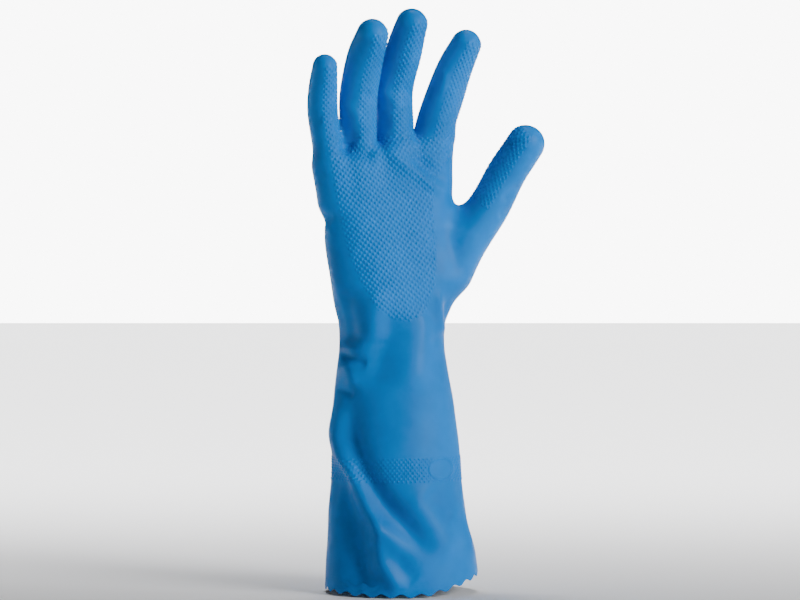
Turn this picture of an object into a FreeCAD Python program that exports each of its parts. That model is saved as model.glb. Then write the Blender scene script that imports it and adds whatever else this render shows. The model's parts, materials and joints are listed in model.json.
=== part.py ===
"""A right-hand household rubber glove, upright, palm to the front (-Y), fingers up (+Z), thumb to +X.

The glove is one dipped latex skin with a cotton flock lining bonded inside it. Here the skin and the lining are
split where a glove flexes: at the wrist, at the root of every finger and at the finger knuckles. Each section is a
rigid hollow shell. A latex crease, the band that folds in use, fills the gap between two sections.
Millimetres. The origin is the centre of the cuff's opening.
"""

import FreeCAD
import Part

import math
import os

Vector = FreeCAD.Vector

# Skin
LATEX = 0.5  # latex wall
FLOCK = 0.4  # flock lining bonded inside the latex
LINING_SETBACK = 3.0  # the lining stops this far above the cuff's edge
HALF_GAP = 0.5  # half of the space between two sections on their hinge line
CREASE_CLEARANCE = 0.1  # between a crease and each section
CREASE_REACH = 1.5  # size of the prism that a crease is cut from, in finger radii

# The palm is turned about Z, so that it faces a little towards the thumb's side.
PALM_TURN = 20.0
PALM_CENTRE = Vector(-10.0, 0.0, 0.0)

# Rings from the cuff to the finger webs: height, centre x, centre y, half width, half depth to the palm side and
# to the back, turn about Z, rise of the thumb side in degrees, squareness (2 is an ellipse).
ARM_RINGS = [
    (-8.0, 0.5, 0.0, 43.5, 33.5, 33.5, 4.0, 0.0, 2.0),
    (10.0, 0.5, 0.0, 43.0, 33.0, 33.0, 4.0, 0.0, 2.0),
    (35.0, -0.7, 0.0, 40.3, 30.9, 30.9, 4.8, 0.0, 2.0),
    (66.0, -2.2, 0.0, 37.2, 28.6, 29.0, 6.0, 0.0, 2.0),
    (100.0, -3.5, 0.4, 35.0, 26.2, 27.1, 9.7, 0.0, 2.0),
    (122.0, -4.1, 0.5, 32.3, 24.4, 25.4, 12.5, 0.0, 2.1),
    (141.0, -4.8, 0.5, 30.2, 22.2, 23.2, 15.0, 0.0, 2.1),
    (158.0, -4.2, 0.6, 33.2, 21.2, 20.7, 17.7, 0.0, 2.2),
    (178.0, -2.8, 1.0, 38.3, 20.0, 17.0, 20.0, 2.0, 2.3),
    (200.0, -4.7, 1.5, 39.3, 18.0, 15.0, 20.0, 5.0, 2.4),
    (224.0, -6.7, 1.0, 37.8, 15.0, 13.5, 20.0, 9.0, 2.5),
    (240.0, -9.3, 0.0, 38.6, 13.0, 12.5, 20.0, 12.0, 2.6),
    (249.0, -10.1, -0.5, 39.3, 11.6, 11.6, 20.0, 13.0, 2.6),
]
RING_POINTS = 16

# Finger stations, root to tip: across the palm towards the thumb, out of the palm, up, radius.
# The second, third and fourth are the knuckles, and the last is the centre of the fingertip.
FINGERS = {
    "index": [(27.5, 0.0, 236.0, 10.4), (31.6, 1.2, 265.5, 11.1), (36.9, 4.0, 283.0, 11.0),
              (42.2, 9.8, 301.0, 9.6), (44.9, 14.3, 309.8, 8.5)],
    "middle": [(8.0, 0.0, 234.0, 9.8), (7.1, 1.2, 265.0, 10.2), (5.8, 4.5, 283.0, 10.1),
               (7.0, 16.2, 306.0, 10.2), (8.4, 26.0, 319.5, 8.8)],
    "ring": [(-13.0, 0.0, 228.0, 9.5), (-16.2, 2.6, 264.5, 10.0), (-17.3, 7.0, 281.0, 10.3),
             (-16.2, 17.6, 302.0, 9.9), (-15.8, 27.0, 312.8, 8.7)],
    "little": [(-28.8, 0.5, 222.0, 8.0), (-34.0, 2.4, 253.5, 8.55), (-37.3, 4.9, 269.5, 8.6),
               (-39.1, 11.2, 286.0, 7.8), (-40.1, 16.6, 295.4, 7.0)],
}
# The thumb has two knuckles.
THUMB = [(38.5, 3.0, 184.0, 14.8), (64.4, 12.0, 225.0, 11.4), (71.2, 17.5, 240.5, 11.0), (78.0, 24.5, 253.8, 10.7)]
THUMB_FLEX_TOWARDS = Vector(-0.30, -0.95, 0.0)  # a direction in the glove's frame

TUBE_RINGS = 11  # rings along a finger
DOME_ANGLES = [20.0, 40.0, 60.0, 75.0, 86.0]  # rings that close a fingertip

# Hinge ranges in degrees from the shape as made: back, forward. Forward bends towards the palm.
WRIST_RANGE = (-30, 40)
FINGER_RANGES = {"base": (-20, 40), "middle": (-15, 60), "tip": (-10, 40)}
THUMB_RANGES = {"base": (-20, 20), "tip": (-15, 30)}
WRIST_HEIGHT = 141.0

REACH = 60.0  # half size of the prisms that divide a finger
ARM_REACH = 400.0  # the same for the arm
SLIVER = 0.5  # cubic millimetres; a cut's crumbs are smaller than this


def palm_axes(turn):
    """Across the palm towards the thumb, and out of the palm."""
    a = math.radians(turn)
    return Vector(math.cos(a), math.sin(a), 0), Vector(math.sin(a), -math.cos(a), 0)


ACROSS, OUT = palm_axes(PALM_TURN)


def closed_ring(centre, side, front, half_side, half_front, half_back, squareness=2.0):
    """A smooth closed wire around centre. side and front span its plane."""
    points = []
    for i in range(RING_POINTS):
        a = 2 * math.pi * i / RING_POINTS
        c, s = math.cos(a), math.sin(a)
        power = 2.0 / squareness
        u = math.copysign(abs(c) ** power, c) * half_side
        v = math.copysign(abs(s) ** power, s) * (half_front if s > 0 else half_back)
        points.append(centre + side * u + front * v)
    curve = Part.BSplineCurve()
    curve.interpolate(points, PeriodicFlag=True)
    return Part.Wire(curve.toShape())


def arm(inset):
    """The solid inside the skin from the cuff to the finger webs, inset from the glove's surface."""
    wires = []
    for i, (z, x, y, half, front_half, back_half, turn, rise, squareness) in enumerate(ARM_RINGS):
        across, out = palm_axes(turn)
        r = math.radians(rise)
        side = across * math.cos(r) + Vector(0, 0, math.sin(r))
        normal = side.cross(out) * -1
        last = i == len(ARM_RINGS) - 1
        centre = Vector(x, y, z) - (normal * inset if last else Vector())
        wires.append(closed_ring(centre, side, out, half - inset, front_half - inset, back_half - inset, squareness))
    return Part.makeLoft(wires, True, False)


def in_space(station):
    across, out, up, _ = station
    return PALM_CENTRE + ACROSS * across + OUT * out + Vector(0, 0, up)


class Digit:
    """A finger or the thumb: a smooth centreline through its stations, with a radius at each."""

    def __init__(self, stations, flex_towards, splay_shared):
        self.points = [in_space(s) for s in stations]
        self.radii = [s[3] for s in stations]
        self.flex_towards = flex_towards
        self.splay_shared = splay_shared
        self.curve = Part.BSplineCurve()
        self.curve.interpolate(self.points)
        self.at = [self.curve.parameter(p) for p in self.points]

    def frame(self, t):
        """Point, tangent, side and front at parameter t. side is the hinge's direction."""
        tangent = self.curve.tangent(t)[0]
        front = self.flex_towards - tangent * self.flex_towards.dot(tangent)
        front.normalize()
        return self.curve.value(t), tangent, tangent.cross(front), front

    def radius(self, t):
        for i in range(len(self.at) - 1):
            if t <= self.at[i + 1] + 1e-9:
                share = (t - self.at[i]) / (self.at[i + 1] - self.at[i])
                return self.radii[i] * (1 - share) + self.radii[i + 1] * share
        return self.radii[-1]

    def solid(self, inset):
        """The finger's full tube with its rounded tip, inset from the glove's surface."""
        wires = []
        for i in range(TUBE_RINGS):
            t = self.at[-1] * i / (TUBE_RINGS - 1)
            point, _, side, front = self.frame(t)
            r = self.radius(t) - inset
            wires.append(closed_ring(point, side, front, r, r, r))
        point, tangent, side, front = self.frame(self.at[-1])
        r = self.radii[-1] - inset
        for degrees in DOME_ANGLES:
            a = math.radians(degrees)
            c = r * math.cos(a)
            wires.append(closed_ring(point + tangent * (r * math.sin(a)), side, front, c, c, c))
        return Part.makeLoft(wires, True, True)

    def hinge(self, knuckle):
        """Position, hinge direction, and the direction of the finger across the hinge, at station number knuckle."""
        point, tangent, side, _ = self.frame(self.at[knuckle])
        axis = side + ACROSS if self.splay_shared else side
        axis.normalize()
        along = tangent - axis * tangent.dot(axis)
        along.normalize()
        return point, axis, along


def beyond(point, axis, along, limits, far, reach):
    """The prism on the child's side of a hinge (far True) or on the parent's. Its end is a wide V with its edge on
    the hinge line, so that the two sides can fold together by limits without meeting."""
    back, forward = (math.radians(abs(d)) / 2 for d in limits)
    front = axis.cross(along)
    sign = 1 if far else -1
    outline = [
        (0, HALF_GAP),
        (reach, HALF_GAP + reach * math.tan(forward)),
        (reach, 2 * reach),
        (-reach, 2 * reach),
        (-reach, HALF_GAP + reach * math.tan(back)),
    ]
    corners = [point - axis * reach + front * out + along * (up * sign) for out, up in outline]
    face = Part.Face(Part.makePolygon(corners + corners[:1]))
    return face.extrude(axis * (2 * reach))


def save(name, shape):
    solids = [s for s in shape.Solids if s.Volume > SLIVER]
    whole = solids[0] if len(solids) == 1 else Part.makeCompound(solids)
    whole.exportStep(os.path.join("parts", name + ".step"))
    print(f"{name}: {len(solids)} solid(s), {sum(s.Volume for s in solids):.0f} mm3")


def between(point, axis, along, limits, reach):
    """The bow-tie prism left free between the two sides of a hinge."""
    back, forward = (math.radians(abs(d)) / 2 for d in limits)
    front = axis.cross(along)
    half = HALF_GAP - CREASE_CLEARANCE
    to_front = half + reach * math.tan(forward)
    to_back = half + reach * math.tan(back)
    outline = [(0, half), (reach, to_front), (reach, -to_front), (0, -half), (-reach, -to_back), (-reach, to_back)]
    corners = [point - axis * reach + front * out + along * up for out, up in outline]
    face = Part.Face(Part.makePolygon(corners + corners[:1]))
    return face.extrude(axis * (2 * reach))


def digit_sections(name, digit, ranges):
    """Writes a digit's latex sections, its lining sections and the creases between them."""
    latex_outside, lining_outside, hollow = (digit.solid(inset) for inset in (0.0, LATEX, LATEX + FLOCK))
    knuckles = list(ranges)
    hinges = [digit.hinge(i + 1) for i in range(len(knuckles))]
    for i, knuckle in enumerate(knuckles):
        region = beyond(*hinges[i], ranges[knuckle], True, REACH)
        if i + 1 < len(knuckles):
            region = region.common(beyond(*hinges[i + 1], ranges[knuckles[i + 1]], False, REACH))
        save(f"{name}_{knuckle}_latex", latex_outside.common(region).cut(lining_outside))
        save(f"{name}_{knuckle}_lining", lining_outside.common(region).cut(hollow))
        gap = between(*hinges[i], ranges[knuckle], CREASE_REACH * digit.radii[i + 1])
        save(f"{name}_{knuckle}_crease", latex_outside.common(gap).cut(lining_outside))


def arm_sections(digits, ranges):
    """Writes the gauntlet and the hand, which carries a short root of every digit, and the wrist's crease."""
    wrist = wrist_hinge()
    gauntlet_side = beyond(*wrist, WRIST_RANGE, False, ARM_REACH)
    hand_side = beyond(*wrist, WRIST_RANGE, True, ARM_REACH)
    insets = (0.0, LATEX, LATEX + FLOCK)
    arms = {inset: arm(inset) for inset in insets}
    tubes = {inset: [d.solid(inset) for d in digits.values()] for inset in insets}
    roots = [beyond(*d.hinge(1), ranges[name], False, REACH) for name, d in digits.items()]

    save("wrist_crease", arms[0.0].common(between(*wrist, WRIST_RANGE, ARM_REACH)).cut(arms[LATEX]))
    for part, outer, inner, foot in (("latex", 0.0, LATEX, 0.0), ("lining", LATEX, LATEX + FLOCK, LINING_SETBACK)):
        above_foot = Part.makeBox(ARM_REACH, ARM_REACH, ARM_REACH, Vector(-ARM_REACH / 2, -ARM_REACH / 2, foot))
        sleeve = arms[outer].common(gauntlet_side).common(above_foot)
        save(f"gauntlet_{part}", sleeve.cut(arms[inner]))
        stubs = [tube.common(root) for tube, root in zip(tubes[outer], roots)]
        hand = arms[outer].common(hand_side).fuse(stubs)
        hollow = arms[inner].fuse(tubes[inner])
        save(f"hand_{part}", hand.cut(hollow))


def wrist_hinge():
    """The hinge across the wrist, at its narrowest ring."""
    ring = min(ARM_RINGS, key=lambda r: abs(r[0] - WRIST_HEIGHT))
    across, _ = palm_axes(ring[6])
    return Vector(ring[1], ring[2], WRIST_HEIGHT), across, Vector(0, 0, 1)


def main():
    os.makedirs("parts", exist_ok=True)
    digits = {name: Digit(stations, OUT, True) for name, stations in FINGERS.items()}
    digits["thumb"] = Digit(THUMB, THUMB_FLEX_TOWARDS, False)
    ranges = {name: THUMB_RANGES if name == "thumb" else FINGER_RANGES for name in digits}
    for name, digit in digits.items():
        digit_sections(name, digit, ranges[name])
    arm_sections(digits, {name: ranges[name]["base"] for name in digits})


if __name__ == "__main__":
    main()
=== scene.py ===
import json
import math
import bmesh
import bpy
import numpy as np
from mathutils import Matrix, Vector

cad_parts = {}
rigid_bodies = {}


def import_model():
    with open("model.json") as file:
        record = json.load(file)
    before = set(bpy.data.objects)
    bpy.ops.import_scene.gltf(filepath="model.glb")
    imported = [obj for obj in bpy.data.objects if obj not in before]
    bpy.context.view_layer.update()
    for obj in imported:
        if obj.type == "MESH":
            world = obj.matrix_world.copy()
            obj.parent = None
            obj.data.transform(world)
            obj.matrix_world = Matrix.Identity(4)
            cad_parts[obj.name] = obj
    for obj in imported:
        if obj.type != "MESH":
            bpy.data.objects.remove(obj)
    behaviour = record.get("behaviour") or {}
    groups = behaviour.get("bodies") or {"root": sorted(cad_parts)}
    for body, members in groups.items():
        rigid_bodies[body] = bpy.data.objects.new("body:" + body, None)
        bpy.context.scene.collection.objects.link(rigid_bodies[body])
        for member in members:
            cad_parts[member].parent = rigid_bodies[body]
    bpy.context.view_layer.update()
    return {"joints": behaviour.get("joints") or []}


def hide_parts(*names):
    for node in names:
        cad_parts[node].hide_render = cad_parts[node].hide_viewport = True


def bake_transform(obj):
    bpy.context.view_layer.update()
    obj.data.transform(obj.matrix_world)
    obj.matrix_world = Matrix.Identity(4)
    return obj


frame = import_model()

# A right-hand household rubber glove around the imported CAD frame. One smooth skin is made from a distance field,
# refined where the rubber has raised grip, given its folds and relief, and cut into pieces that each cross one
# joint. Lengths are millimetres until a mesh is made.

MM = 0.001
LATEX = 0.5
FLOCK = 0.4
LINING_SETBACK = 3.0
CELL = 1.6  # size of a face of the plain skin
CUTS = 3  # cuts of each edge where the rubber has relief
SPACE_LOW, SPACE_HIGH = (-60.0, -48.0, -6.0), (88.0, 42.0, 336.0)  # corners of the box that is searched for the skin

PALM_TURN = math.radians(20.0)
ACROSS = np.array([math.cos(PALM_TURN), math.sin(PALM_TURN), 0.0])
OUT = np.array([math.sin(PALM_TURN), -math.cos(PALM_TURN), 0.0])
PALM_CENTRE = np.array([-10.0, 0.0, 0.0])

# Rings of the arm and palm: height, centre x and y, half width, half depth to the palm side and to the back,
# turn about Z in degrees, squareness.
ARM = np.array([
    (-12.0, 0.5, 0.0, 43.6, 33.5, 33.5, 4.0, 2.0),
    (10.0, 0.5, 0.0, 43.0, 33.0, 33.0, 4.0, 2.0),
    (27.0, 0.0, 0.0, 41.3, 31.6, 31.6, 4.5, 2.0),
    (43.0, -1.4, 0.0, 39.4, 30.2, 30.2, 5.0, 2.0),
    (60.0, -2.0, 0.0, 37.6, 29.0, 29.2, 5.5, 2.0),
    (77.0, -2.6, 0.0, 36.5, 28.0, 28.5, 7.0, 2.0),
    (94.0, -3.4, 0.3, 35.6, 26.6, 27.4, 9.0, 2.0),
    (111.0, -3.7, 0.5, 33.7, 25.4, 26.4, 11.0, 2.0),
    (125.0, -4.2, 0.5, 31.9, 24.2, 25.2, 13.0, 2.1),
    (141.0, -4.8, 0.5, 30.2, 22.2, 23.2, 15.0, 2.1),
    (151.0, -4.7, 0.5, 30.8, 21.6, 22.2, 17.0, 2.1),
    (162.0, -4.0, 0.6, 34.4, 21.0, 20.0, 18.0, 2.2),
    (178.0, -2.8, 1.0, 38.3, 20.0, 17.0, 20.0, 2.3),
    (200.0, -4.7, 1.5, 39.3, 18.0, 15.0, 20.0, 2.4),
    (212.0, -5.1, 1.3, 37.9, 16.5, 14.3, 20.0, 2.4),
    (224.0, -6.7, 1.0, 37.8, 15.0, 13.5, 20.0, 2.5),
    (240.0, -9.3, 0.0, 38.6, 13.0, 12.5, 20.0, 2.6),
    (262.0, -11.2, -0.8, 40.3, 11.6, 11.6, 20.0, 2.6),
])
PALM_TOP = np.array([-10.6, -0.5, 250.0])
PALM_TOP_RISE = math.radians(12.0)

# Finger stations, root to tip: across the palm, out of it, up, radius.
DIGITS = {
    "index": [(27.5, 0.0, 236.0, 10.4), (31.6, 1.2, 265.5, 11.1), (36.9, 4.0, 283.0, 11.0),
              (42.2, 9.8, 301.0, 9.6), (44.9, 14.3, 309.8, 8.5)],
    "middle": [(8.0, 0.0, 234.0, 9.8), (6.9, 1.2, 265.0, 10.4), (5.7, 4.5, 283.0, 10.2),
               (7.0, 16.2, 306.0, 10.2), (8.4, 26.0, 319.5, 8.8)],
    "ring": [(-13.0, 0.0, 228.0, 9.6), (-15.8, 3.2, 264.5, 10.4), (-17.0, 7.4, 281.0, 10.4),
             (-16.2, 17.6, 302.0, 9.9), (-15.8, 27.0, 312.8, 8.7)],
    "little": [(-28.8, 0.5, 222.0, 8.0), (-34.0, 2.4, 253.5, 8.9), (-37.3, 4.9, 269.5, 8.6),
               (-39.1, 11.2, 286.0, 7.8), (-40.1, 16.6, 295.4, 7.0)],
    "thumb": [(38.5, 3.0, 184.0, 14.8), (64.4, 12.0, 225.0, 11.4), (71.2, 17.5, 240.5, 11.0),
              (78.0, 24.5, 253.8, 10.7)],
}
FINGERS = ["index", "middle", "ring", "little"]
FINGER_BLEND = 2.5  # roundings where surfaces meet
PALM_BLEND = 9.0
THUMB_BLEND = 10.0
PALM_TOP_BLEND = 6.0
FAR = 1e3  # a distance beyond everything

# Half length of the zone round each kind of knuckle where the glove would bend, and the room between it and a
# piece's edge; a piece starts this far before its knuckle.
BEND_ZONE = {"wrist": 20.0, "base": 6.0, "middle": 8.0, "tip": 6.5}
EDGE_ROOM = 2.2

# Raised grip: lozenges on a slanted lattice. Half periods, turn on the palm, height.
GRIP_HALF_WIDTH = 1.45
GRIP_HALF_HEIGHT = 1.75
GRIP_TURN = math.radians(10.0)
GRIP_RELIEF = 0.42
# Limits of the palm's grip: height, least x, greatest x.
GRIP_ON_PALM = np.array([
    (153.0, 1.0, 6.0), (157.0, -9.0, 13.0), (161.0, -14.0, 16.2), (174.0, -21.9, 20.5), (191.5, -29.7, 21.4),
    (209.0, -33.6, 20.0), (229.0, -37.5, 19.6), (236.0, -38.5, 24.0), (243.0, -39.6, 28.0), (262.0, -40.0, 31.0),
])
# Grip on the digits: from and to what angle round the finger, in degrees, and from what length to the tip.
GRIP_ON_DIGIT = {"index": (-22, 105, 21), "middle": (-30, 100, 24), "ring": (-22, 100, 27), "little": (-25, 100, 25),
                 "thumb": (-115, -8, 40)}
GRIP_SHORT_OF_TIP = 2.0
GRIP_OFF_DIGIT = 3.5  # the skin further than this from a digit's own surface has no grip of the digit

# Band of dots round the cuff, with a blank oval in it.
BAND_LOW, BAND_HIGH = 63.2, 76.8
BAND_RELIEF = 0.42
BAND_RADIUS = 33.0  # of the cuff, to lay the dots out evenly round it
OVAL_X, OVAL_Z = 23.2, 70.7
OVAL_HALF = (6.6, 5.9)
OVAL_LINE = 0.5  # half width of the raised line round the oval
OVAL_RELIEF = 1.2  # its height, as a share of the band's relief

# Pinked cuff edge
TOOTH_LENGTH = 10.0
TOOTH_DEPTH = 2.0
TOOTH_FADE = 9.0  # height over which the skin follows its teeth
EDGE_RADIUS = 38.6  # of the cuff's edge, to lay the teeth out evenly round it
EDGE_FADE = 34.0  # height over which the skin follows the rise of the edge
THUMB_SIDE_RISE, LITTLE_SIDE_RISE = 9.0, 1.5  # of the edge

# Rows of points that turn the cuff's edge in: how far inwards, how far up
RIM_ROWS = [(0.12, -0.12), (LATEX * 0.5, -0.2), (LATEX - 0.1, -0.1), (LATEX, 0.15), (LATEX, LINING_SETBACK + 2.5)]

# Strength of the world's light: on things, and as the camera sees it
FAINT_LIGHT = 0.035
BACKDROP_LIGHT = 9.0
# Areas of the floor with a light of their own, in metres: centre x and y, width, depth. Watts on each square metre.
FLOOR_LIT = [(0.0, 3.3, 12.0, 6.0), (0.0, -4.2, 12.0, 4.0), (-4.0, -0.95, 4.0, 2.5), (4.0, -0.95, 4.0, 2.5)]
FLOOR_LIGHT = 11.0
FLOOR_LIGHT_HEIGHT = 2.5

# Folds of the rubber on the palm side: points (x, z) along the fold, half width, height (a valley is negative).
# A fold fades out at both ends.
FRONT_FOLDS = [
    # The long fold down the cuff, which parts in two, with the valleys beside it
    ([(-32, 118), (-34, 100), (-35, 88), (-32, 79), (-28, 69), (-24, 60), (-19, 50), (-13, 41), (-5, 32), (5, 22)],
     4.8, 4.2),
    ([(-17, 46), (-13.5, 37), (-12, 28), (-10.5, 19), (-5, 11), (3, 0)], 4.6, 3.2),
    ([(-27, 112), (-28, 98), (-26.5, 84), (-20, 70), (-14, 60), (-6, 49), (3, 40), (12, 30), (22, 21)], 6.0, -4.2),
    ([(-36, 80), (-34, 66), (-30, 50), (-25, 32), (-22, 14), (-20, -2)], 8.5, -5.4),
    ([(-3, 26), (2, 17), (9, 10)], 4.0, -1.0),
    ([(14, 60), (22, 52), (30, 44)], 6.0, -1.3),
    ([(3, 62), (14, 46), (24, 32), (30, 20)], 8.0, 1.6),
    ([(33, 96), (35, 70), (38, 40), (42, 8)], 2.2, 1.0),
    # The dents at the wrist
    ([(-31, 174), (-31, 160), (-29, 148), (-28, 138)], 6.5, -3.6),
    ([(-13, 174), (-14, 158), (-14, 142)], 6.5, 1.8),
    ([(-36, 137), (-28, 133), (-19, 130)], 2.8, -1.9),
    ([(-33, 131), (-28, 125), (-26, 117)], 3.4, 1.5),
    ([(-36, 117), (-31, 114), (-26, 111)], 2.6, -1.4),
    ([(-1, 160), (-9, 140), (-18, 112)], 8.0, -2.4),
    ([(18, 162), (12, 140), (5, 112)], 9.0, 2.3),
    ([(22, 172), (22.5, 158), (23.5, 146)], 2.4, 1.6),
    ([(27, 166), (26.5, 157), (26.5, 149)], 2.2, -1.6),
    ([(16, 162), (18, 150), (19, 138)], 3.4, -0.8),
    # The ball of the thumb and the creases of the palm
    ([(26, 208), (31, 193), (33, 176)], 6.0, -1.8),
    ([(-16, 254), (-4, 247), (5, 240), (18, 231), (32, 222)], 4.2, 1.9),
    ([(-34, 255), (-25, 249), (-12, 247)], 4.5, -2.2),
    ([(6, 246), (16, 239), (28, 229)], 4.0, -1.4),
    ([(-48, 237), (-42, 234)], 2.4, -0.8),
    ([(-46, 214), (-37, 211)], 2.6, -1.0),
    ([(-44, 206), (-37, 205)], 2.4, 0.8),
    ([(70, 230), (63, 226), (58, 221)], 2.4, -1.0),
    ([(64, 216), (56, 212)], 2.4, -0.8),
    # The bends of the fingers
    ([(-34, 278), (-29, 272), (-22, 267)], 3.6, 1.0),
    ([(-35, 266), (-29, 259), (-24, 253)], 4.2, -1.3),
    ([(-21, 281), (-13, 277)], 2.8, -0.8),
    ([(-12, 285), (-6, 279), (1, 274)], 3.6, 1.0),
    ([(-12, 272), (-9, 266), (-8, 260)], 3.2, -1.0),
    ([(0, 284), (9, 281)], 2.8, -0.8),
    ([(24, 297), (25.5, 290), (22, 280)], 1.8, 0.6),
    ([(-52, 268), (-43, 265)], 3.2, -0.7),
]
# The same on the back of the hand and arm
BACK_FOLDS = [
    ([(26, 96), (14, 70), (4, 40), (-8, 6)], 8.0, 2.2),
    ([(10, 84), (0, 52), (-14, 16)], 8.0, -2.2),
    ([(-28, 151), (-10, 146), (10, 148), (26, 144)], 4.4, -1.7),
    ([(-28, 138), (-6, 136), (24, 134)], 4.2, 1.3),
    ([(-26, 127), (0, 123), (22, 125)], 4.8, -1.4),
    ([(8, 226), (6, 210), (4, 196)], 6.0, -1.0),
    ([(-14, 224), (-12, 208), (-9, 196)], 6.0, -1.0),
]
FOLD_STEP = 2.0  # spacing of the samples along a fold
FOLD_FADE = 0.25  # share of a fold's length in which it fades at each end


def smoothstep(x, low, high):
    t = np.clip((x - low) / (high - low), 0.0, 1.0)
    return t * t * (3.0 - 2.0 * t)


def smooth_union(a, b, size):
    h = np.maximum(size - np.abs(a - b), 0.0) / size
    return np.minimum(a, b) - h * h * size / 4.0


def smooth_values(x, xs, table):
    """Cubic interpolation of the columns of table, given at xs, with slopes from the neighbours."""
    slopes = np.gradient(table, xs, axis=0)
    i = np.clip(np.searchsorted(xs, x) - 1, 0, len(xs) - 2)
    h = (xs[i + 1] - xs[i])[:, None]
    t = np.clip((x - xs[i])[:, None] / h, 0.0, 1.0)
    a, b = table[i], table[i + 1]
    return (a * (1 + 2 * t) * (1 - t) ** 2 + b * t * t * (3 - 2 * t)
            + slopes[i] * h * t * (1 - t) ** 2 - slopes[i + 1] * h * t * t * (1 - t))


class Digit:
    """A finger's centreline, sampled finely, with its radius and its front direction at each sample."""

    def __init__(self, stations):
        s = np.array(stations)
        points = PALM_CENTRE + s[:, :1] * ACROSS + s[:, 1:2] * OUT + s[:, 2:3] * np.array([0.0, 0.0, 1.0])
        along = np.concatenate([[0.0], np.cumsum(np.linalg.norm(np.diff(points, axis=0), axis=1))])
        u = np.linspace(0.0, along[-1], 33)
        sampled = smooth_values(u, along, np.column_stack([points, s[:, 3]]))
        self.points, self.radii = sampled[:, :3], sampled[:, 3]
        steps = np.linalg.norm(np.diff(self.points, axis=0), axis=1)
        self.lengths = np.concatenate([[0.0], np.cumsum(steps)])
        tangents = np.gradient(self.points, self.lengths, axis=0)
        self.tangents = tangents / np.linalg.norm(tangents, axis=1)[:, None]
        front = OUT - self.tangents * (self.tangents @ OUT)[:, None]
        self.fronts = front / np.linalg.norm(front, axis=1)[:, None]
        self.sides = np.cross(self.tangents, self.fronts)

    def distance(self, p):
        best = np.full(len(p), FAR)
        reach = self.radii.max() + 30.0
        low, high = self.points.min(0) - reach, self.points.max(0) + reach
        near = np.all((p > low) & (p < high), axis=1)
        q = p[near]
        d = np.full(len(q), FAR)
        for a, b, ra, rb in zip(self.points[:-1:2], self.points[2::2], self.radii[:-1:2], self.radii[2::2]):
            ab = b - a
            t = np.clip(((q - a) @ ab) / (ab @ ab), 0.0, 1.0)
            d = np.minimum(d, np.linalg.norm(q - a - t[:, None] * ab, axis=1) - (ra + (rb - ra) * t))
        best[near] = d
        return best

    def coordinates(self, p):
        """Length along the finger, and angle round it from the palm side, positive towards the thumb's side."""
        gap = np.linalg.norm(p[:, None, :] - self.points[None, :, :], axis=2)
        i = gap.argmin(axis=1)
        q = p - self.points[i]
        along = self.lengths[i] + np.sum(q * self.tangents[i], axis=1)
        angle = np.arctan2(np.sum(q * self.sides[i], axis=1), np.sum(q * self.fronts[i], axis=1))
        return along, angle, self.radii[i]


digits = {name: Digit(stations) for name, stations in DIGITS.items()}


def arm_distance(p):
    """Distance from the arm's surface, negative inside it."""
    ring = smooth_values(p[:, 2], ARM[:, 0], ARM[:, 1:])
    cx, cy, half, front, back, turn, square = ring.T
    a = np.radians(turn)
    x, y = p[:, 0] - cx, p[:, 1] - cy
    u = x * np.cos(a) + y * np.sin(a)
    v = x * np.sin(a) - y * np.cos(a)
    depth = np.where(v > 0, front, back)
    r = np.hypot(u, v) + 1e-6
    rho = ((np.abs(u) / half) ** square + (np.abs(v) / depth) ** square) ** (1.0 / square) + 1e-6
    return (r - r / rho) * np.minimum(1.0, 0.55 + 0.45 * np.minimum(half, depth) / np.maximum(r / rho, 1e-3))


def glove_distance(p):
    """Distance from the whole glove's surface, negative inside it."""
    normal = np.array([-math.sin(PALM_TOP_RISE) * ACROSS[0], -math.sin(PALM_TOP_RISE) * ACROSS[1],
                       math.cos(PALM_TOP_RISE)])
    top = (p - PALM_TOP) @ normal
    palm = -smooth_union(-arm_distance(p), -top, PALM_TOP_BLEND)
    fingers = digits["index"].distance(p)
    for name in FINGERS[1:]:
        fingers = smooth_union(fingers, digits[name].distance(p), FINGER_BLEND)
    d = smooth_union(palm, fingers, PALM_BLEND)
    return smooth_union(d, digits["thumb"].distance(p), THUMB_BLEND)


def gradient(p, step=0.05):
    """Direction in which glove_distance grows, not normalised."""
    g = np.empty_like(p)
    for k in range(3):
        e = np.zeros(3)
        e[k] = step
        g[:, k] = (glove_distance(p + e) - glove_distance(p - e)) / (2 * step)
    return g


def onto_surface(p, rounds):
    """Moves points along the gradient to where glove_distance is zero."""
    for _ in range(rounds):
        d = glove_distance(p)
        g = gradient(p)
        p = p - g * (d / np.maximum(np.sum(g * g, axis=1), 0.05))[:, None]
    return p


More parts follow.
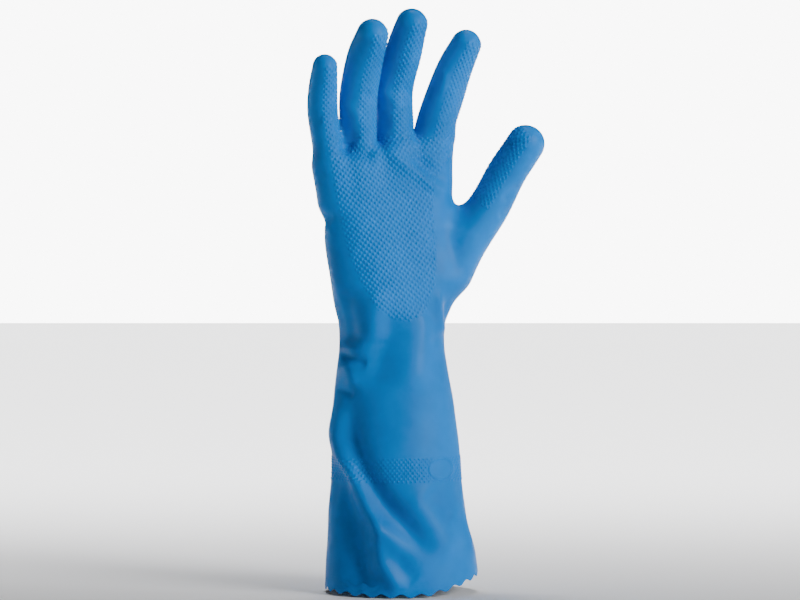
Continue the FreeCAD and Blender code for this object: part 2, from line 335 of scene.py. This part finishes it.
def surface_net(low, high, cell):
    """Vertices and quads of the surface where glove_distance is zero."""
    axes = [np.arange(low[k], high[k] + cell, cell) for k in range(3)]
    shape = [len(a) for a in axes]
    grid = np.stack(np.meshgrid(*axes, indexing="ij"), axis=-1).reshape(-1, 3)
    value = np.concatenate([glove_distance(part) for part in np.array_split(grid, 16)]).reshape(shape)
    corners = [(i, j, k) for i in (0, 1) for j in (0, 1) for k in (0, 1)]
    inner = tuple(slice(0, n - 1) for n in shape)
    negative = np.zeros([n - 1 for n in shape], int)
    for i, j, k in corners:
        negative += value[i:shape[0] - 1 + i, j:shape[1] - 1 + j, k:shape[2] - 1 + k] < 0
    cells = np.argwhere((negative > 0) & (negative < 8))
    index = np.full([n - 1 for n in shape], -1)
    index[tuple(cells.T)] = np.arange(len(cells))
    at = {c: value[tuple((cells + np.array(c)).T)] for c in corners}
    total, count = np.zeros((len(cells), 3)), np.zeros(len(cells))
    for c in corners:
        for k in range(3):
            if c[k]:
                continue
            e = tuple(c[m] + (m == k) for m in range(3))
            crosses = (at[c] < 0) != (at[e] < 0)
            t = np.where(crosses, at[c] / np.where(crosses, at[c] - at[e], 1.0), 0.0)
            point = np.array(c, float)[None, :] + t[:, None] * np.eye(3)[k]
            total += np.where(crosses[:, None], point, 0.0)
            count += crosses
    vertices = (cells + total / count[:, None]) * cell + np.array([a[0] for a in axes])
    quads = []
    for k in range(3):
        m, n = [a for a in range(3) if a != k]
        low_side = value[inner]
        shifted = [slice(0, s - 1) for s in shape]
        shifted[k] = slice(1, shape[k])
        high_side = value[tuple(shifted)]
        edges = np.argwhere((low_side < 0) != (high_side < 0))
        edges = edges[(edges[:, m] > 0) & (edges[:, n] > 0)]
        ring = []
        for dm, dn in ((0, 0), (1, 0), (1, 1), (0, 1)):
            c = edges.copy()
            c[:, m] -= dm
            c[:, n] -= dn
            ring.append(index[tuple(c.T)])
        quad = np.stack(ring, axis=1)
        flip = (low_side[tuple(edges.T)] < 0) == (k == 1)
        quad[flip] = quad[flip][:, ::-1]
        quads.append(quad)
    quads = np.concatenate(quads)
    return vertices, quads[(quads >= 0).all(axis=1)]


def relax(vertices, quads, rounds=4):
    """Evens out the net, and keeps it on the surface."""
    for _ in range(rounds):
        total, count = np.zeros_like(vertices), np.zeros(len(vertices))
        for k in range(4):
            for other in (quads[:, (k + 1) % 4], quads[:, (k + 3) % 4]):
                np.add.at(total, quads[:, k], vertices[other])
                np.add.at(count, quads[:, k], 1)
        vertices = vertices * 0.5 + 0.5 * total / np.maximum(count, 1)[:, None]
    return onto_surface(vertices, 3)


def fold_line(points):
    """A smooth line through points, as samples of x and z."""
    p = np.array(points, float)
    along = np.concatenate([[0.0], np.cumsum(np.linalg.norm(np.diff(p, axis=0), axis=1))])
    return smooth_values(np.arange(0.0, along[-1] + FOLD_STEP, FOLD_STEP), along, p)


def fold(x, z, points, width, height):
    """Height that one fold adds at x and z."""
    line = fold_line(points)
    reach = 2.6 * width
    low, high = line.min(axis=0) - reach, line.max(axis=0) + reach
    near = np.flatnonzero((x > low[0]) & (x < high[0]) & (z > low[1]) & (z < high[1]))
    q = np.column_stack([x[near], z[near]])
    best, share = np.full(len(q), FAR), np.zeros(len(q))
    for i, (a, b) in enumerate(zip(line[:-1], line[1:])):
        ab = b - a
        t = np.clip((q - a) @ ab / max(ab @ ab, 1e-9), 0.0, 1.0)
        d = np.hypot(*(q - a - t[:, None] * ab).T)
        closer = d < best
        best[closer], share[closer] = d[closer], (i + t[closer]) / (len(line) - 1)
    added = np.zeros(len(x))
    fade = smoothstep(share, 0.0, FOLD_FADE) * smoothstep(1.0 - share, 0.0, FOLD_FADE)
    added[near] = height * fade * np.exp(-(best / width) ** 2)
    return added


def fold_height(p, n):
    """Height that all the folds add at points p of the skin, which face n."""
    x, z = p[:, 0], p[:, 2]
    total = np.zeros(len(p))
    for folds, facing in ((FRONT_FOLDS, -n[:, 1]), (BACK_FOLDS, n[:, 1])):
        seen = smoothstep(facing, -0.05, 0.4)
        for points, width, height in folds:
            total += seen * fold(x, z, points, width, height)
    return total


def lozenges(u, v):
    """Relief from 0 to 1 of staggered lozenges."""
    a, b = u / GRIP_HALF_WIDTH, v / GRIP_HALF_HEIGHT
    s, t = (a + b) / 2.0, (a - b) / 2.0
    ds, dt = 2.0 * np.abs(s - np.round(s)), 2.0 * np.abs(t - np.round(t))
    return 1.0 - smoothstep((ds ** 2.4 + dt ** 2.4) ** (1 / 2.4), 0.15, 0.92)


def nearest_digit(p):
    """Name of the digit whose surface is nearest, as a number, and the distance."""
    d = np.stack([digit.distance(p) for digit in digits.values()])
    return d.argmin(axis=0), d.min(axis=0)


def grip(p, n):
    """Where the grip is, from 0 to 1, and its relief."""
    which, off = nearest_digit(p)
    x, z = p[:, 0], p[:, 2]
    low = np.interp(z, GRIP_ON_PALM[:, 0], GRIP_ON_PALM[:, 1])
    high = np.interp(z, GRIP_ON_PALM[:, 0], GRIP_ON_PALM[:, 2])
    place = smoothstep(x - low, 0.0, 1.6) * smoothstep(high - x, 0.0, 1.6) * smoothstep(-n[:, 1], 0.25, 0.5)
    place *= smoothstep(z, GRIP_ON_PALM[0, 0], GRIP_ON_PALM[0, 0] + 1.5)
    c, s = math.cos(GRIP_TURN), math.sin(GRIP_TURN)
    relief = lozenges(x * c + z * s, z * c - x * s)
    for number, (name, digit) in enumerate(digits.items()):
        start, stop, from_length = GRIP_ON_DIGIT[name]
        mine = np.flatnonzero((which == number) & (off < GRIP_OFF_DIGIT))
        along, angle, radius = digit.coordinates(p[mine])
        on = along > from_length
        mine, along, angle, radius = mine[on], along[on], np.degrees(angle[on]), radius[on]
        inside = smoothstep(angle, start, start + 10) * smoothstep(-angle, -stop, 12 - stop)
        tip = digit.lengths[-1] + digit.radii[-1] - GRIP_SHORT_OF_TIP
        # On the rounded tip, the height above its centre stands in for the length along the skin.
        inside *= smoothstep(tip - along, 0.0, 2.5)
        place[mine] = inside
        relief[mine] = lozenges(np.radians(angle) * radius, along)
    return place, relief * place


def band(p):
    """Where the cuff's band is, from 0 to 1, and its relief."""
    x, y, z = p.T
    place = smoothstep(z, BAND_LOW - 0.6, BAND_LOW + 0.6) * smoothstep(-z, -BAND_HIGH - 0.6, 0.6 - BAND_HIGH)
    round_cuff = np.arctan2(y, x + 2.0) * BAND_RADIUS
    relief = lozenges(round_cuff, z * 1.12) ** 1.5 * place
    front = y < 0
    oval = np.hypot((x - OVAL_X) / OVAL_HALF[0], (z - OVAL_Z) / OVAL_HALF[1])
    relief = np.where(front, relief * smoothstep(oval, 1.1, 1.25), relief)
    line = np.exp(-((oval - 1.0) * OVAL_HALF[1] / OVAL_LINE) ** 2)
    near = front & (oval < 1.3)
    return np.maximum(place, near), relief + np.where(near, line * OVAL_RELIEF, 0.0)


def unevenness(p):
    """Slow waves that keep the skin from looking machined."""
    x, y, z = p.T
    return (0.35 * np.sin(z / 13.0 + x / 9.0) * np.sin(x / 11.0 - y / 8.0 + 1.3)
            + 0.22 * np.sin(z / 7.0 - x / 12.0 + 2.0) * np.sin(y / 9.0 + z / 17.0))


def pinked(p):
    """Moves the cuff's edge to the line of its teeth, which rises on both sides of the arm."""
    x, y, z = p.T
    lift = (THUMB_SIDE_RISE * np.clip((x - 8.0) / 36.0, 0.0, 1.2) ** 1.7
            + LITTLE_SIDE_RISE * np.clip((-x - 20.0) / 22.0, 0.0, 1.0))
    round_cuff = np.arctan2(y * 1.28, x) * EDGE_RADIUS
    teeth = TOOTH_DEPTH * (0.5 + 0.5 * np.cos(2 * math.pi * round_cuff / TOOTH_LENGTH))
    fade = np.clip(1.0 - z / EDGE_FADE, 0.0, 1.0)
    fade_teeth = smoothstep(-z, -TOOTH_FADE, 0.0)
    out = p.copy()
    out[:, 2] += lift * fade + teeth * fade_teeth
    return out


def skin_mesh():
    """The coarse skin of the whole glove, open at the cuff, as vertices and quads."""
    vertices, quads = surface_net(SPACE_LOW, SPACE_HIGH, CELL)
    vertices = relax(vertices, quads)
    bm = bmesh.new()
    points = [bm.verts.new(v) for v in vertices]
    for q in quads:
        bm.faces.new([points[i] for i in q])
    everything = bm.verts[:] + bm.edges[:] + bm.faces[:]
    bmesh.ops.bisect_plane(bm, geom=everything, dist=1e-4, plane_co=(0, 0, 0), plane_no=(0, 0, -1), clear_outer=True)
    bm.normal_update()
    return bm


def arrays(bm):
    """The mesh's points, and the direction in which the skin faces at each."""
    bm.verts.index_update()
    p = np.array([v.co for v in bm.verts])
    g = gradient(p)
    return p, g / np.linalg.norm(g, axis=1)[:, None]


def refine(bm):
    """Divides the faces that carry grip, dots or teeth."""
    p, n = arrays(bm)
    wanted = (grip(p, n)[0] > 0.01) | (band(p)[0] > 0.01) | (p[:, 2] < TOOTH_FADE)
    edges = [e for e in bm.edges if wanted[e.verts[0].index] or wanted[e.verts[1].index]]
    old = len(bm.verts)
    bmesh.ops.subdivide_edges(bm, edges=edges, cuts=CUTS, use_grid_fill=True)
    bm.verts.ensure_lookup_table()
    new = bm.verts[old:]
    q = np.array([v.co for v in new])
    edge = q[:, 2] < 1e-3
    q = np.where(edge[:, None], q, onto_surface(q, 2))
    for v, co in zip(new, q):
        v.co = co


def shaped(p, n, with_relief):
    """The skin's points with folds, and with the raised patterns where asked."""
    height = fold_height(p, n) + unevenness(p)
    if with_relief:
        height = height + GRIP_RELIEF * grip(p, n)[1] + BAND_RELIEF * band(p)[1]
    return pinked(p + n * height[:, None])


joints = {j["name"]: j for j in frame["joints"]}


def hinge(name):
    """A joint's position in millimetres, and its axis."""
    j = joints[name]
    return np.array(j["pos_m"]) / MM, np.array(j["axis"])


def knuckles(digit_name):
    """Each knuckle of a digit as (section, point, direction of the digit across the hinge)."""
    found = []
    digit = digits[digit_name]
    for section in ("base", "middle", "tip"):
        if f"{digit_name}_{section}_flex" not in joints:
            continue
        point, axis = hinge(f"{digit_name}_{section}_flex")
        tangent = digit.tangents[np.linalg.norm(digit.points - point, axis=1).argmin()]
        along = tangent - axis * (tangent @ axis)
        found.append((section, point, along / np.linalg.norm(along)))
    return found


def piece_of(p):
    """Number of the piece that each point belongs to. 0 is the arm and palm; the others are listed in PIECES."""
    which, _ = nearest_digit(p)
    number = np.zeros(len(p), int)
    for i, (digit_name, section, point, along) in enumerate(PIECES):
        start = -(BEND_ZONE[section] + EDGE_ROOM)
        mine = (which == list(digits).index(digit_name)) & ((p - point) @ along > start)
        number[mine] = i + 1
    return number


PIECES = [(name, *knuckle) for name in digits for knuckle in knuckles(name)]


def make_object(name, points, faces, normals):
    mesh = bpy.data.meshes.new(name)
    mesh.from_pydata((points * MM).tolist(), [], faces)
    mesh.update()
    mesh.shade_smooth()
    mesh.normals_split_custom_set_from_vertices(normals.tolist())
    made = bpy.data.objects.new(name, mesh)
    bpy.context.scene.collection.objects.link(made)
    return made


def vertex_normals(points, faces):
    mesh = bpy.data.meshes.new("whole")
    mesh.from_pydata(points.tolist(), [], faces)
    mesh.update()
    flat = np.empty(len(points) * 3)
    mesh.vertex_normals.foreach_get("vector", flat)
    bpy.data.meshes.remove(mesh)
    return flat.reshape(-1, 3)


def cut_up(prefix, base_points, points, faces):
    """Makes one object for each piece of a skin. Faces are shared out by where they were before any relief."""
    normals = vertex_normals(points, faces)
    centres = np.array([base_points[f].mean(axis=0) for f in faces])
    number = piece_of(centres)
    made = []
    for k in range(len(PIECES) + 1):
        chosen = np.flatnonzero(number == k)
        used = sorted({i for f in chosen for i in faces[f]})
        renumber = {old: new for new, old in enumerate(used)}
        part_faces = [[renumber[i] for i in faces[f]] for f in chosen]
        name = f"{prefix}_arm_and_palm" if k == 0 else f"{prefix}_{PIECES[k - 1][0]}_{PIECES[k - 1][1]}"
        made.append(make_object(name, points[used], part_faces, normals[used]))
    return made


def attach(made, suffix):
    """Bakes each piece's placement into its mesh, and hides the CAD nodes it stands for."""
    wrist, _ = hinge("wrist_flex")
    up = np.array([0.0, 0.0, 1.0])
    for k, piece in enumerate(made):
        if k == 0:
            section, point, along, near, far = "wrist", wrist, up, "gauntlet", "hand"
            replaced = [f"gauntlet_{suffix}", f"hand_{suffix}"]
            crease = "wrist_crease"
        else:
            digit_name, section, point, along = PIECES[k - 1]
            near, far = joints[f"{digit_name}_{section}_flex"]["parent"], f"{digit_name}_{section}"
            replaced = [f"{far}_{suffix}"]
            crease = f"{far}_crease"
        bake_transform(piece)
        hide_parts(*replaced, *([crease] if suffix == "latex" else []))


def add_rim(faces, points, normals):
    """Turns the cuff's edge inwards by the wall, and takes it up inside to behind the lining. Adds to faces, and
    returns all the points."""
    sides = {side: True for f in faces for side in zip(f, f[1:] + f[:1])}
    rim = [(a, b) for (a, b) in sides if (b, a) not in sides]
    loop = sorted({i for edge in rim for i in edge})
    inward = -normals[loop] * np.array([1.0, 1.0, 0.0])
    inward /= np.linalg.norm(inward, axis=1)[:, None]
    first = len(points)
    number = {i: k for k, i in enumerate(loop)}
    for inset, rise in RIM_ROWS:
        points = np.vstack([points, points[loop] + inward * inset + np.array([0.0, 0.0, rise])])
    for a, b in rim:
        ring_a, ring_b = a, b
        for r in range(len(RIM_ROWS)):
            next_a = first + r * len(loop) + number[a]
            next_b = first + r * len(loop) + number[b]
            faces.append([ring_b, ring_a, next_a, next_b])
            ring_a, ring_b = next_a, next_b
    return points


# The skin, first coarse for the lining and then refined for the latex
skin = skin_mesh()
lining_base, lining_normals = arrays(skin)
lining_faces = [[v.index for v in f.verts] for f in skin.faces]
lining_points = shaped(lining_base, lining_normals, False)
inner = lining_points - vertex_normals(lining_points, lining_faces) * (LATEX + FLOCK)
lining_faces = [f[::-1] for f in lining_faces if min(lining_points[f, 2]) > LINING_SETBACK]
lining = cut_up("lining", lining_base, inner, lining_faces)

refine(skin)
base, base_normals = arrays(skin)
faces = [[v.index for v in f.verts] for f in skin.faces]
skin.free()
points = shaped(base, base_normals, True)
with_rim = add_rim(faces, points, base_normals)
base = np.vstack([base, with_rim[len(points):]])
latex = cut_up("latex", base, with_rim, faces)

attach(latex, "latex")
attach(lining, "lining")


def new_material(name):
    material = bpy.data.materials.new(name)
    material.use_nodes = True
    tree = material.node_tree
    return material, tree, tree.nodes["Principled BSDF"]


def noise(tree, scale, detail, roughness=0.5):
    where = tree.nodes.new("ShaderNodeTexCoord")
    made = tree.nodes.new("ShaderNodeTexNoise")
    made.inputs["Scale"].default_value = scale
    made.inputs["Detail"].default_value = detail
    made.inputs["Roughness"].default_value = roughness
    tree.links.new(where.outputs["Object"], made.inputs["Vector"])
    return made


def ramp(tree, source, low, high, low_color, high_color):
    """Colours from low_color where source is low to high_color where it is high."""
    made = tree.nodes.new("ShaderNodeValToRGB")
    made.color_ramp.elements[0].position = low
    made.color_ramp.elements[1].position = high
    made.color_ramp.elements[0].color = (*low_color, 1.0)
    made.color_ramp.elements[1].color = (*high_color, 1.0)
    tree.links.new(source, made.inputs["Fac"])
    return made


def rubber_material():
    material, tree, shader = new_material("blue_latex")
    cloud = noise(tree, 28.0, 4.0)
    colour = ramp(tree, cloud.outputs["Fac"], 0.35, 0.7, (0.0, 0.175, 0.560), (0.001, 0.225, 0.700))
    tree.links.new(colour.outputs["Color"], shader.inputs["Base Color"])
    wear = noise(tree, 160.0, 3.0)
    rough = ramp(tree, wear.outputs["Fac"], 0.3, 0.75, (0.38,) * 3, (0.50,) * 3)
    tree.links.new(rough.outputs["Color"], shader.inputs["Roughness"])
    shader.inputs["Specular IOR Level"].default_value = 0.12
    shader.inputs["Subsurface Weight"].default_value = 0.06
    shader.inputs["Subsurface Radius"].default_value = (0.2, 0.7, 1.0)
    shader.inputs["Subsurface Scale"].default_value = 0.002
    pores = noise(tree, 1500.0, 2.0)
    bump = tree.nodes.new("ShaderNodeBump")
    bump.inputs["Strength"].default_value = 0.12
    bump.inputs["Distance"].default_value = 0.0004
    tree.links.new(pores.outputs["Fac"], bump.inputs["Height"])
    tree.links.new(bump.outputs["Normal"], shader.inputs["Normal"])
    return material


def flock_material():
    material, tree, shader = new_material("cotton_flock")
    fibre = noise(tree, 900.0, 4.0, 0.7)
    colour = ramp(tree, fibre.outputs["Fac"], 0.3, 0.7, (0.20, 0.44, 0.68), (0.42, 0.66, 0.84))
    tree.links.new(colour.outputs["Color"], shader.inputs["Base Color"])
    shader.inputs["Roughness"].default_value = 0.95
    shader.inputs["Sheen Weight"].default_value = 0.4
    bump = tree.nodes.new("ShaderNodeBump")
    bump.inputs["Strength"].default_value = 0.6
    bump.inputs["Distance"].default_value = 0.0005
    tree.links.new(fibre.outputs["Fac"], bump.inputs["Height"])
    tree.links.new(bump.outputs["Normal"], shader.inputs["Normal"])
    return material


rubber, flock = rubber_material(), flock_material()
for piece in latex:
    piece.data.materials.append(rubber)
for piece in lining:
    piece.data.materials.append(flock)


def add_floor():
    bpy.ops.mesh.primitive_plane_add(size=12.0, location=(0.0, 0.0, -0.0006))
    floor = bpy.context.object
    floor.name = "floor"
    material, tree, shader = new_material("pale_floor")
    shader.inputs["Base Color"].default_value = (0.92, 0.92, 0.93, 1.0)
    shader.inputs["Roughness"].default_value = 0.9
    floor.data.materials.append(material)


def aim(thing, target):
    direction = Vector(target) - thing.location
    thing.rotation_euler = direction.to_track_quat("-Z", "Y").to_euler()


def add_light(name, place, target, size, power, spread=180.0):
    data = bpy.data.lights.new(name, "AREA")
    data.shape = "RECTANGLE"
    data.size, data.size_y = size
    data.energy = power
    data.spread = math.radians(spread)
    light = bpy.data.objects.new(name, data)
    bpy.context.scene.collection.objects.link(light)
    light.location = place
    aim(light, target)


def add_world():
    """A white backdrop to the camera, and a faint even light on everything else."""
    world = bpy.data.worlds.new("studio")
    bpy.context.scene.world = world
    world.use_nodes = True
    tree = world.node_tree
    tree.nodes.clear()
    faint, white = tree.nodes.new("ShaderNodeBackground"), tree.nodes.new("ShaderNodeBackground")
    faint.inputs["Color"].default_value = (0.90, 0.95, 1.0, 1.0)
    faint.inputs["Strength"].default_value = FAINT_LIGHT
    white.inputs["Color"].default_value = (1.0, 1.0, 1.0, 1.0)
    white.inputs["Strength"].default_value = BACKDROP_LIGHT
    path = tree.nodes.new("ShaderNodeLightPath")
    mix = tree.nodes.new("ShaderNodeMixShader")
    out = tree.nodes.new("ShaderNodeOutputWorld")
    tree.links.new(path.outputs["Is Camera Ray"], mix.inputs["Fac"])
    tree.links.new(faint.outputs["Background"], mix.inputs[1])
    tree.links.new(white.outputs["Background"], mix.inputs[2])
    tree.links.new(mix.outputs["Shader"], out.inputs["Surface"])


def add_camera():
    data = bpy.data.cameras.new("camera")
    data.lens = 119.0
    data.clip_end = 50.0
    camera = bpy.data.objects.new("camera", data)
    bpy.context.scene.collection.objects.link(camera)
    camera.location = (0.0, -1.5, 0.19)
    aim(camera, (0.0, 0.0, 0.165))
    bpy.context.scene.camera = camera


MIDDLE = (0.0, 0.0, 0.18)
add_floor()
add_world()
add_light("key", (1.15, -0.8, 0.7), MIDDLE, (0.6, 0.8), 22.5)
add_light("rim", (-1.2, 0.25, 0.4), MIDDLE, (0.3, 0.9), 1.6)
add_light("fill", (0.0, -1.7, 0.5), MIDDLE, (0.6, 0.6), 0.7)
# The floor round the glove has lights of its own, which shine straight down and so don't reach the glove.
for number, (x, y, width, depth) in enumerate(FLOOR_LIT):
    place = (x, y, FLOOR_LIGHT_HEIGHT)
    power = FLOOR_LIGHT * width * depth
    add_light(f"floor_light_{number}", place, (x, y, 0.0), (width, depth), power, 30.0)
add_camera()
